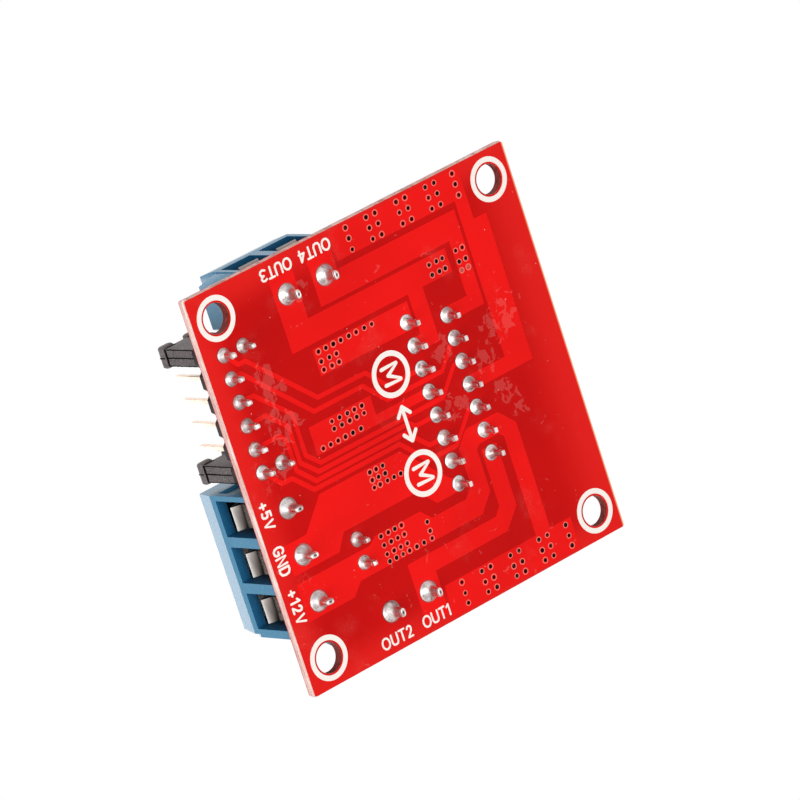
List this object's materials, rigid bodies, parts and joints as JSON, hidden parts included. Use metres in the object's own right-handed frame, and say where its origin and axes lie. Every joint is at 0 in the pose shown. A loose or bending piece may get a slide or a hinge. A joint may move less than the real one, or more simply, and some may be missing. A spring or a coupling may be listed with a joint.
{
  "type": "dc motor driver module",
  "caption": "Square red circuit board with an upright driver chip on a black finned heat sink, blue screw terminals and a pin header for driving small motors.",
  "frame": {"origin": "centre of the board's flat solder face", "axes": "+Z out of the component face, -Y towards the power terminal and the control header, +Y towards the heat sink, +X to the right seen from the front"},
  "size_m": [0.0432, 0.0432, 0.0284],
  "materials": {
    "board_red": "gloss solder mask",
    "terminal_blue": "satin moulded",
    "header_black": "matte moulded",
    "cap_black": "fine-grained moulded",
    "pin_gold": "thin gold plating",
    "tinned": "tin plating",
    "nickel": "nickel plating",
    "epoxy_black": "matte moulded epoxy",
    "sink_black": "black anodised",
    "can_aluminium": "bright drawn",
    "lamp_red": "clear gloss"
  },
  "bodies": {
    "root": {"circuit_board": "board_red", "driver_chip_body": "epoxy_black", "driver_chip_tab": "tinned", "heat_sink": "sink_black", "heat_sink_screw": "nickel", "power_terminal_housing": "terminal_blue", "power_terminal_contact_1": "tinned", "power_terminal_contact_2": "tinned", "power_terminal_contact_3": "tinned", "left_terminal_housing": "terminal_blue", "left_terminal_contact_1": "tinned", "left_terminal_contact_2": "tinned", "right_terminal_housing": "terminal_blue", "right_terminal_contact_1": "tinned", "right_terminal_contact_2": "tinned", "control_header_base": "header_black", "control_header_pin_1": "pin_gold", "control_header_pin_2": "pin_gold", "control_header_pin_3": "pin_gold", "control_header_pin_4": "pin_gold", "control_header_pin_5": "pin_gold", "control_header_pin_6": "pin_gold", "enable_header_base_1": "header_black", "enable_header_pin_1": "pin_gold", "enable_jumper_1": "cap_black", "enable_header_base_2": "header_black", "enable_header_pin_2": "pin_gold", "enable_jumper_2": "cap_black", "supply_header_base": "header_black", "supply_header_pin_1": "pin_gold", "supply_header_pin_2": "pin_gold", "supply_jumper": "cap_black", "capacitor_can_1": "can_aluminium", "capacitor_base_1": "header_black", "capacitor_can_2": "can_aluminium", "capacitor_base_2": "header_black", "regulator": "epoxy_black", "diode_1": "epoxy_black", "diode_2": "epoxy_black", "diode_3": "epoxy_black", "diode_4": "epoxy_black", "diode_5": "epoxy_black", "diode_6": "epoxy_black", "diode_7": "epoxy_black", "diode_8": "epoxy_black", "power_lamp": "lamp_red"},
    "power_terminal_screw_1": {"power_terminal_screw_1": "nickel"},
    "power_terminal_cage_1": {"power_terminal_cage_1": "nickel"},
    "power_terminal_screw_2": {"power_terminal_screw_2": "nickel"},
    "power_terminal_cage_2": {"power_terminal_cage_2": "nickel"},
    "power_terminal_screw_3": {"power_terminal_screw_3": "nickel"},
    "power_terminal_cage_3": {"power_terminal_cage_3": "nickel"},
    "left_terminal_screw_1": {"left_terminal_screw_1": "nickel"},
    "left_terminal_cage_1": {"left_terminal_cage_1": "nickel"},
    "left_terminal_screw_2": {"left_terminal_screw_2": "nickel"},
    "left_terminal_cage_2": {"left_terminal_cage_2": "nickel"},
    "right_terminal_screw_1": {"right_terminal_screw_1": "nickel"},
    "right_terminal_cage_1": {"right_terminal_cage_1": "nickel"},
    "right_terminal_screw_2": {"right_terminal_screw_2": "nickel"},
    "right_terminal_cage_2": {"right_terminal_cage_2": "nickel"}
  },
  "joints": [
    {"name": "power_terminal_screw_1_turn", "type": "hinge", "parent": "root", "child": "power_terminal_screw_1", "pos_m": [-0.01266, -0.0173, 0.0103], "axis": [0, 0, -1], "range_deg": [-648.2, 504.2]},
    {"name": "power_terminal_cage_1_rise", "type": "slide", "parent": "root", "child": "power_terminal_cage_1", "axis": [0, 0, 1], "range_m": [-0.0009, 0.0007]},
    {"name": "power_terminal_screw_2_turn", "type": "hinge", "parent": "root", "child": "power_terminal_screw_2", "pos_m": [-0.00758, -0.0173, 0.0103], "axis": [0, 0, -1], "range_deg": [-648.2, 504.2]},
    {"name": "power_terminal_cage_2_rise", "type": "slide", "parent": "root", "child": "power_terminal_cage_2", "axis": [0, 0, 1], "range_m": [-0.0009, 0.0007]},
    {"name": "power_terminal_screw_3_turn", "type": "hinge", "parent": "root", "child": "power_terminal_screw_3", "pos_m": [-0.0025, -0.0173, 0.0103], "axis": [0, 0, -1], "range_deg": [-648.2, 504.2]},
    {"name": "power_terminal_cage_3_rise", "type": "slide", "parent": "root", "child": "power_terminal_cage_3", "axis": [0, 0, 1], "range_m": [-0.0009, 0.0007]},
    {"name": "left_terminal_screw_1_turn", "type": "hinge", "parent": "root", "child": "left_terminal_screw_1", "pos_m": [-0.0172, -0.00446, 0.0103], "axis": [0, 0, -1], "range_deg": [-648.2, 504.2]},
    {"name": "left_terminal_cage_1_rise", "type": "slide", "parent": "root", "child": "left_terminal_cage_1", "axis": [0, 0, 1], "range_m": [-0.0009, 0.0007]},
    {"name": "left_terminal_screw_2_turn", "type": "hinge", "parent": "root", "child": "left_terminal_screw_2", "pos_m": [-0.0172, -0.00954, 0.0103], "axis": [0, 0, -1], "range_deg": [-648.2, 504.2]},
    {"name": "left_terminal_cage_2_rise", "type": "slide", "parent": "root", "child": "left_terminal_cage_2", "axis": [0, 0, 1], "range_m": [-0.0009, 0.0007]},
    {"name": "right_terminal_screw_1_turn", "type": "hinge", "parent": "root", "child": "right_terminal_screw_1", "pos_m": [0.0172, -0.00954, 0.0103], "axis": [0, 0, -1], "range_deg": [-648.2, 504.2]},
    {"name": "right_terminal_cage_1_rise", "type": "slide", "parent": "root", "child": "right_terminal_cage_1", "axis": [0, 0, 1], "range_m": [-0.0009, 0.0007]},
    {"name": "right_terminal_screw_2_turn", "type": "hinge", "parent": "root", "child": "right_terminal_screw_2", "pos_m": [0.0172, -0.00446, 0.0103], "axis": [0, 0, -1], "range_deg": [-648.2, 504.2]},
    {"name": "right_terminal_cage_2_rise", "type": "slide", "parent": "root", "child": "right_terminal_cage_2", "axis": [0, 0, 1], "range_m": [-0.0009, 0.0007]}
  ],
  "couplings": [
    {"joint": "power_terminal_screw_1_turn", "follows": "power_terminal_cage_1_rise", "rad_per_m": 12566},
    {"joint": "power_terminal_screw_2_turn", "follows": "power_terminal_cage_2_rise", "rad_per_m": 12566},
    {"joint": "power_terminal_screw_3_turn", "follows": "power_terminal_cage_3_rise", "rad_per_m": 12566},
    {"joint": "left_terminal_screw_1_turn", "follows": "left_terminal_cage_1_rise", "rad_per_m": 12566},
    {"joint": "left_terminal_screw_2_turn", "follows": "left_terminal_cage_2_rise", "rad_per_m": 12566},
    {"joint": "right_terminal_screw_1_turn", "follows": "right_terminal_cage_1_rise", "rad_per_m": 12566},
    {"joint": "right_terminal_screw_2_turn", "follows": "right_terminal_cage_2_rise", "rad_per_m": 12566}
  ]
}
